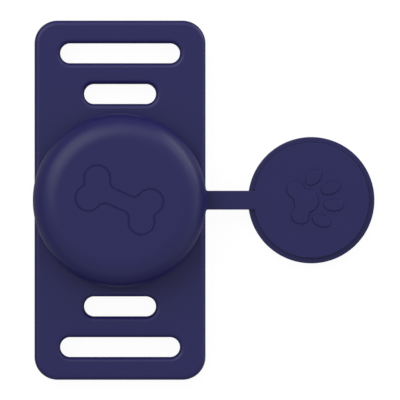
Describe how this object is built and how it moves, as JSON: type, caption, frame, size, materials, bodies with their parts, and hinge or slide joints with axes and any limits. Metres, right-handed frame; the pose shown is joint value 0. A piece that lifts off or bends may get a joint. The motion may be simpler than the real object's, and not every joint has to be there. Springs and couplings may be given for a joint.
{
  "type": "tracker tag holder",
  "caption": "Soft collar holder for a coin-shaped tracker tag: domed pocket on a slotted plate, with a strap-tethered cap that closes the pocket's mouth.",
  "frame": {"origin": "on the pocket's axis, in the plane of the plate's back face", "axes": "+Z out of the back face towards the dome, +X along the strap towards the cap, +Y along the plate towards the upper wing"},
  "size_m": [0.0712, 0.075, 0.0126],
  "materials": {
    "silicone": "matte moulded silicone, deep indigo"
  },
  "bodies": {
    "holder": {"pocket_dome": "silicone", "plate_middle": "silicone", "mouth_lip": "silicone", "upper_wing": "silicone", "lower_wing": "silicone", "strap_root": "silicone", "strap_bend": "silicone"},
    "cap": {"strap_tail": "silicone", "cap_face": "silicone", "cap_flange": "silicone", "paw_relief": "silicone"}
  },
  "joints": [
    {"name": "fold", "type": "hinge", "parent": "holder", "child": "cap", "pos_m": [0.01996, 0, 0.0015], "axis": [0, 1, 0], "range_deg": [0, 180], "stiffness_Nm_per_rad": 0.0004, "deforming": ["strap_bend", "mouth_lip"]}
  ]
}
